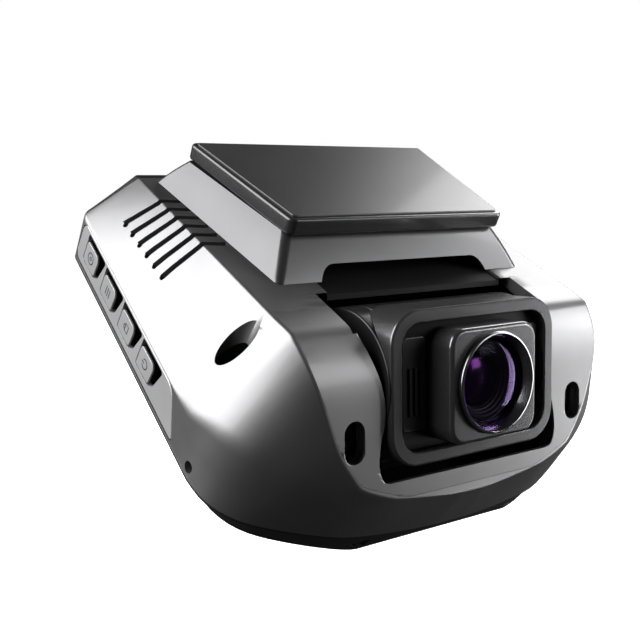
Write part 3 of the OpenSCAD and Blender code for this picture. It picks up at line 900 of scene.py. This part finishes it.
def makeNeck():
    n = neck
    rings = []
    for k in range(n["levels"] + 1):
        u = k / n["levels"]
        share = u - n["flare"] * math.sin(math.pi * u)
        rings.append(flatRing(neckOutline(share), n["base"] + (n["top"] - n["base"]) * u))
    body = ringPiece("bracketNeck", rings, padFrame)
    half, top, radius = n["arch"]
    corners = [(half, top), (-half, top), (-half, -14), (half, -14)]
    arch = roundedOutline(corners, [radius, radius, 0.3, 0.3], 8)
    place = padFrame @ Matrix.Translation((0, -12, 0)) @ Matrix.Rotation(math.pi / 2, 4, "X")
    cutters = [prismPiece("archCut", arch, 0, n["archReach"], place)]
    cutters += [boxPiece(name, *corners, padFrame) for name, corners in n["cuts"].items()]
    carve(body, cutters)
    softenEdges(body, 0.22)
    return fit(body, "neckBlack", "housing", ["pedestal"])


makeBracket()
makeNeck()
print("bracket made")

buttonBank = {
    "pitch": 9.37,
    "hook": [(61.35, -17.4), (52.6, -17.4), (54, -22.4), (55.6, -23.75), (61.35, -23.75)],
    "hookRadii": [0.5, 0.5, 0.9, 0.5, 0.7],
    "cap": [(61.2, -18.95), (55.45, -18.95), (55.75, -23.6), (61.2, -23.6)],
    "capRadii": [0.8, 1.2, 0.6, 0.6],
    "capDepth": (0.02, 0.45),
    "capEdge": 0.12,
    "bodyDepth": 1.5,
    "stem": (58.3, -21.2),
    "stemRadius": 1.2,
    "mat": [(62.4, -18.3), (24.6, -18.3), (24.6, -24.3), (62.4, -24.3)],
    "matDepth": (2.1, 2.5),
    "matHole": 1.4,
}


def buttonPlace(index, offset=(0, 0)):
    along = offset[0] - buttonBank["pitch"] * index
    return endFrame(-halfWidth) @ Matrix.Translation((along, offset[1], 0))


def makeLeftStrip():
    b = buttonBank
    panel = platePiece("leftStrip", stripOutline(), 0, strips["thick"], strips["edge"], endFrame(-halfWidth))
    hook = roundedOutline(b["hook"], b["hookRadii"], 5)
    for k in range(4):
        carve(panel, [prismPiece("hookCut", hook, -1, 3, buttonPlace(k))])
    carve(panel, [micPort()])
    softenEdges(panel, 0.1)
    fit(panel, "stripSilver", "housing", ["end_strip_left"])
    mat = prismPiece("buttonMat", roundedOutline(b["mat"], [0.5] * 4), *b["matDepth"], endFrame(-halfWidth))
    hole = circleOutline(b["matHole"], 24)
    for k in range(4):
        carve(mat, [prismPiece("plungerHole", hole, 1, 4, buttonPlace(k, b["stem"]))])
    fit(mat, "wellBlack", "housing")


# openings in the right strip: corners along the screen and across it
sockets = {
    "power": [(59.6, -20.95), (52.4, -20.95), (52.4, -24.45), (59.6, -24.45)],
    "powerRadius": 0.8,
    "jack": (45, -22.7),
    "jackRadius": 1.9,
    "card": [(37.8, -20.85), (26.2, -20.85), (26.2, -22.1), (37.8, -22.1)],
    "cardRadius": 0.3,
    "thumbDip": (32, -21.5),
    "thumbRadius": 3,
    "thumbFloor": 0.65,
}


def makeRightStrip():
    k = sockets
    place = endFrame(halfWidth - strips["thick"])
    panel = platePiece("rightStrip", stripOutline(), 0, strips["thick"], strips["edge"], place)
    ports = [roundedOutline(k["power"], [k["powerRadius"]] * 4),
             circleOutline(k["jackRadius"], 32, k["jack"]),
             roundedOutline(k["card"], [k["cardRadius"]] * 4)]
    carve(panel, [prismPiece("port", outline, -1, 3, place) for outline in ports])
    dip = circleOutline(k["thumbRadius"], 40, k["thumbDip"])
    carve(panel, [prismPiece("thumbDip", dip, k["thumbFloor"], 3, place)])
    softenEdges(panel, 0.1)
    return fit(panel, "stripSilver", "housing", ["end_strip_right"])


def strokeOutline(points, width, closed=False):
    # flat ribbon round a line of points, as pairs of edge points
    pts = [Vector(p) for p in points]
    left, right = [], []
    for k, p in enumerate(pts):
        before = pts[k - 1] if k > 0 or closed else p
        after = pts[(k + 1) % len(pts)] if k < len(pts) - 1 or closed else p
        along = (after - before).normalized()
        side = Vector((-along.y, along.x)) * width / 2
        left.append(p + side)
        right.append(p - side)
    return left, right


def strokePiece(name, points, width, thick, place, closed=False):
    left, right = strokeOutline(points, width, closed)
    rings = []
    for a, b in zip(left, right):
        rings.append([(a.x, a.y, 0), (b.x, b.y, 0), (b.x, b.y, -thick), (a.x, a.y, -thick)])
    return ringPiece(name, rings, place, closed=closed)


def arcLine(radius, start, end, steps=24, centre=(0, 0)):
    angles = (math.radians(start + (end - start) * k / steps) for k in range(steps + 1))
    return [(centre[0] + radius * math.cos(a), centre[1] + radius * math.sin(a)) for a in angles]


# generic marks: each is a list of open or closed lines, along the screen then across it
def recordMark():
    return [(arcLine(1.15, 0, 345), True), (arcLine(0.32, 0, 345), True)]


def menuMark():
    return [([(-1.0, h), (1.0, h)], False) for h in (0.75, 0, -0.75)]


def padlockMark():
    body = [(-0.8, -1), (0.8, -1), (0.8, 0.15), (-0.8, 0.15)]
    return [(body, True), (arcLine(0.5, 0, 180, 12, (0, 0.25)), False)]


def powerMark():
    return [(arcLine(0.95, 125, 415, 28), False), ([(0, 0.3), (0, 1.2)], False)]


buttons = {
    "button_ok": (0, recordMark),
    "button_menu": (1, menuMark),
    "button_lock": (2, padlockMark),
    "button_power": (3, powerMark),
}
mark = {"width": 0.26, "thick": 0.03, "centre": (58.4, -21.25)}


def joined(name, pieces):
    # several meshes as one object
    work = bmesh.new()
    for piece in pieces:
        work.from_mesh(piece.data)
        bpy.data.objects.remove(piece)
    mesh = bpy.data.meshes.new(name)
    work.to_mesh(mesh)
    work.free()
    whole = bpy.data.objects.new(name, mesh)
    bpy.context.collection.objects.link(whole)
    return whole


def makeButton(node, index, lines):
    b = buttonBank
    place = buttonPlace(index)
    low, high = b["capDepth"]
    outline = roundedOutline(b["cap"], b["capRadii"], 6)
    cap = platePiece(node + "Cap", outline, low, high, b["capEdge"], place)
    fit(cap, "stripSilver", node, [node])
    body = prismPiece(node + "Body", insetOutline(outline, 0.05), high, b["bodyDepth"], place)
    stemPlace = place @ Matrix.Translation((*b["stem"], 0))
    carve(body, [prismPiece("stem", circleOutline(b["stemRadius"], 24), 1.4, 2.6, stemPlace)], "UNION")
    fit(body, "wellBlack", node)
    # the mark reads upright from outside, so it is mirrored along the screen
    upright = Matrix(((0, 1, 0, 0), (1, 0, 0, 0), (0, 0, -1, 0), (0, 0, 0, 1)))
    markPlace = place @ Matrix.Translation((*mark["centre"], 0)) @ upright
    strokes = []
    for points, closed in lines():
        strokes.append(strokePiece("stroke", points, mark["width"], mark["thick"], markPlace, closed))
    fit(joined(node + "Mark", strokes), "printBlack", node)


makeLeftStrip()
makeRightStrip()
for buttonNode, (buttonIndex, markLines) in buttons.items():
    makeButton(buttonNode, buttonIndex, markLines)
print("end strips and buttons made")

turret = {
    "radius": 13.2,
    "half": 20.2,
    "hub": 6.4,
    "hubHalf": 21.4,
    "edge": 0.45,
    "skin": 1.6,
    "pin": 2.5,
    "pinDepth": 4.4,
    "pinStarts": (-25, 20.6),
    "groove": (4, 0.5, 0.25),       # from the end, width, depth
    "cableExit": ((-14, -9, -6), (-9, 9, 6)),
    "bezel": (40, 27, 6),           # width, height, corner
    "window": (35.1, 22.3, 4),
    "bezelDepth": 9,
    "outerBevel": 0.4,
    "innerBevel": 0.22,
}


def drumProfile():
    t = turret
    r, h, e = t["radius"], t["half"], t["edge"]
    start, width, depth = t["groove"]
    profile = [(0.001, -t["hubHalf"]), (t["hub"], -t["hubHalf"]), (t["hub"], -h), (r - e, -h),
               (r - e * 0.3, -h + e * 0.3), (r, -h + e), (r, -h + start), (r - depth, -h + start + 0.1),
               (r - depth, -h + start + width), (r, -h + start + width + 0.1)]
    return profile + [(a, -b) for a, b in reversed(profile)]


def makeDrum():
    t = turret
    half, skin = t["half"], t["skin"]
    drum = turnedPiece("turretDrum", drumProfile(), axleFrame, 128)
    lugs = [prismPiece("pinHole", circleOutline(t["pin"], 32), x, x + t["pinDepth"], axleFrame)
            for x in t["pinStarts"]]
    exitPlace = axleFrame @ Matrix.Rotation(math.pi / 2, 4, "Z")
    inner = circleOutline(t["radius"] - skin, 96)
    carve(drum, [prismPiece("drumHollow", inner, skin - half, half - skin, axleFrame),
                 prismPiece("windowCut", roundedBox(*t["window"]), -6, 14, lensFrame),
                 boxPiece("cableExit", *t["cableExit"], exitPlace)] + lugs)
    softenEdges(drum, 0.1)
    return fit(drum, "drumBlack", "turret", ["turret_drum"])


def makeBezel():
    t = turret
    outer = roundedBox(*t["bezel"])
    inner = roundedBox(*t["window"])
    depth, ob, ib = t["bezelDepth"], t["outerBevel"], t["innerBevel"]
    # inset and height, round the outside to the front and back through the window
    outside = [(0, -depth), (0, -ob * 1.5), (ob * 0.2, -ob * 0.75), (ob * 0.75, -0.12), (ob * 1.1, 0)]
    inside = [(-ib, 0), (-ib * 0.35, -0.12), (0, -ib), (0, -depth)]
    rings = [flatRing(insetOutline(outer, inset), height) for inset, height in outside]
    rings += [flatRing(insetOutline(inner, inset), height) for inset, height in inside]
    bezel = ringPiece("bezelFrame", rings, lensFrame, closed=True)
    carve(bezel, [prismPiece("drumSeat", circleOutline(t["radius"] + 0.05, 128), -30, 30, axleFrame)])
    softenEdges(bezel, 0.08)
    return fit(bezel, "bezelGunmetal", "turret", ["bezel_frame"])


maskPanel = {
    "floor": -1.8,
    "thick": 1.0,
    "edge": 0.15,
    "barrelHole": 7.15,
    "panel": (11.2, 16.6, -7.6, 8.6),       # from, to, bottom, top, beside the lens block
    "panelRadius": 1.0,
    "panelEdge": 0.18,
    "ribs": 3,
    "firstRib": 12.5,
    "ribPitch": 1.25,
    "ribHalf": 0.3,
    "ribReach": (-5, 3.4),
}


def makeMask():
    m = maskPanel
    width, height, radius = turret["window"]
    floor = m["floor"]
    outline = roundedBox(width - 0.2, height - 0.2, radius - 0.1)
    base = platePiece("turretMask", outline, floor - m["thick"], floor, m["edge"], lensFrame)
    carve(base, [prismPiece("barrelHole", circleOutline(m["barrelHole"], 64), -10, 10, lensFrame)])
    fit(base, "wellBlack", "turret", ["turret_mask"])
    near, far, bottom, top = m["panel"]
    half = m["ribHalf"]
    ribLow, ribHigh = m["ribReach"]
    parts = []
    for side in (1, -1):
        low, high = sorted((side * near, side * far))
        corners = [(high, top), (low, top), (low, bottom), (high, bottom)]
        panel = roundedOutline(corners, [m["panelRadius"]] * 4, 5)
        parts.append(platePiece("ribPanel", panel, floor - 0.3, floor + 0.5, m["panelEdge"], lensFrame))
        for k in range(m["ribs"]):
            x = side * (m["firstRib"] + m["ribPitch"] * k)
            corners = [(x + half, ribHigh), (x - half, ribHigh), (x - half, ribLow), (x + half, ribLow)]
            rib = roundedOutline(corners, [0.28] * 4, 4)
            parts.append(platePiece("rib", rib, floor + 0.3, floor + 0.9, 0.12, lensFrame))
    fit(joined("maskPanels", parts), "coverBlack", "turret")


lens = {
    "block": (21, 20, 3.2),         # width, height, corner
    "blockFront": 4.3,
    "blockBack": -1.75,
    "chamfer": 0.55,
    "ring": 9.0,
    "ringFront": 5.2,
    "ringBack": -1.7,
    "bore": 7.2,
    "glass": 7.55,
    "glassBack": 2.35,
    "domeBase": 2.9,
    "domeTop": 4.4,
    # the stepped barrel behind the glass: radius and height of each step's edge
    "steps": [(7, 2.15), (6.75, 2.15), (6.6, 1.65), (6.2, 1.6), (6.05, 1.1), (5.75, 1.05), (5.6, 0.55),
              (5.3, 0.5), (5.15, 0), (5, 0)],
    "barrelBack": -10,
    "element": 4.95,
    "elementBack": -2.2,
    "elementRim": -1.2,
    "elementRise": 1.9,
}


def domeLine(radius, base, rise, first=0):
    turns = (k / 16 * math.pi / 2 for k in range(first, 16))
    return [(radius * math.cos(a), base + rise * math.sin(a)) for a in turns]


def makeBlock():
    outline = roundedBox(*lens["block"])
    front, c = lens["blockFront"], lens["chamfer"]
    levels = [(0, lens["blockBack"]), (0, front - c * 1.3), (c * 0.25, front - c * 0.7), (c, front - 0.08),
              (c * 1.3, front)]
    rings = [flatRing(insetOutline(outline, inset), height) for inset, height in levels]
    block = ringPiece("lensBlock", rings, lensFrame)
    carve(block, [prismPiece("ringBore", circleOutline(lens["ring"] + 0.05, 96), -3, 20, lensFrame)])
    softenEdges(block, 0.08)
    return fit(block, "blockGunmetal", "turret", ["lens_block"])


def makeRing():
    r, g, front, back, bore = (lens[k] for k in ("ring", "glass", "ringFront", "ringBack", "bore"))
    section = [(bore, back), (r, back), (r, front - 0.35), (r - 0.12, front - 0.12), (r - 0.35, front),
               (g + 1.0, front), (g + 0.85, front - 0.12), (g + 0.1, front - 1.5), (g + 0.05, front - 1.7),
               (g + 0.05, 2.2), (bore, 2.2)]
    ring = turnedPiece("lensRing", section, lensFrame, 128, closed=True)
    return fit(ring, "ringSteel", "turret", ["lens_ring"])


def makeLens():
    g, back, base, top = (lens[k] for k in ("glass", "glassBack", "domeBase", "domeTop"))
    dome = domeLine(g, base, top - base)
    glass = turnedPiece("frontGlass", [(0.02, back), (g - 0.6, back), (g, back)] + dome + [(0.02, top)],
                        lensFrame, 128)
    fit(glass, "coatedGlass", "turret", ["front_glass"])
    steps, deep = lens["steps"], lens["barrelBack"]
    barrel = turnedPiece("lensBarrel", [(steps[0][0], deep)] + steps + [(steps[-1][0], deep)], lensFrame, 96,
                         closed=True)
    fit(barrel, "barrelBlack", "turret", ["lens_barrel"])
    r, rim, rise = lens["element"], lens["elementRim"], lens["elementRise"]
    profile = [(0.02, lens["elementBack"]), (r, lens["elementBack"]), (r, rim)]
    profile += domeLine(r, rim, rise, 1) + [(0.02, round(rim + rise, 3))]
    element = turnedPiece("innerElement", profile, lensFrame, 96)
    fit(element, "innerViolet", "turret")


makeDrum()
makeBezel()
makeMask()
makeBlock()
makeRing()
makeLens()
print("turret made")

floor = {"height": -85, "radius": 1600, "thick": 4, "glow": 1.0}


def makeFloor():
    h, r, t = floor["height"], floor["radius"], floor["thick"]
    profile = [(0.01, h - t), (r, h - t), (r, h - t / 2), (r - t / 2, h), (0.01, h)]
    disc = turnedPiece("floor", profile, toMetres, 128)
    mat, tree, skin = startMaterial("palePaper")
    fibre = noiseNode(tree, 400, 4)
    tone = rampNode(tree, fibre.outputs["Fac"], [(0.3, (0.95, 0.95, 0.95)), (0.7, (0.98, 0.98, 0.98))])
    tree.links.new(tone.outputs["Color"], skin.inputs["Base Color"])
    tree.links.new(tone.outputs["Color"], skin.inputs["Emission Color"])
    skin.inputs["Emission Strength"].default_value = floor["glow"]
    skin.inputs["Roughness"].default_value = 0.9
    disc.data.materials.append(mat)
    disc.visible_diffuse = False
    disc.visible_glossy = False
    disc.visible_shadow = False


makeFloor()
print("floor laid")

# finishes of the nodes themselves, seen where no finer piece stands for them
usedFinishes = {
    "padFilm": ["adhesive_pad"],
    "plateBlack": ["mount_plate"],
    "metalBare": ["latch_spring", "heat_sink", "usb_port", "card_socket", "tact_switches", "pivot_pins"],
    "neckBlack": ["pedestal"],
    "shellGunmetal": ["main_shell"],
    "trimGunmetal": ["front_trim"],
    "coverBlack": ["rear_cover"],
    "screenGlass": ["screen_window", "rear_lens"],
    "lcdDark": ["lcd_panel"],
    "boardGreen": ["main_board", "button_board", "sensor_board"],
    "barrelBlack": ["processor", "memory_chips", "speaker", "av_jack", "memory_card", "front_glass",
                    "lens_barrel", "lens_holder"],
    "sleeveBlue": ["backup_capacitors"],
    "brassPlain": ["microphone"],
    "stripSilver": ["end_strip_left", "end_strip_right", "button_ok", "button_menu", "button_lock",
                    "button_power"],
    "wellBlack": ["turret_cradle", "turret_mask"],
    "nylonPale": ["friction_washers"],
    "drumBlack": ["turret_drum"],
    "bezelGunmetal": ["bezel_frame"],
    "blockGunmetal": ["lens_block"],
    "ringSteel": ["lens_ring"],
    "sensorDie": ["image_sensor"],
    "screwBlack": ["case_screws"],
}
for finishName, nodeNames in usedFinishes.items():
    for nodeName in nodeNames:
        part = frame["nodes"][nodeName]
        part.data.materials.clear()
        part.data.materials.append(finishes[finishName])
print("finishes put on")
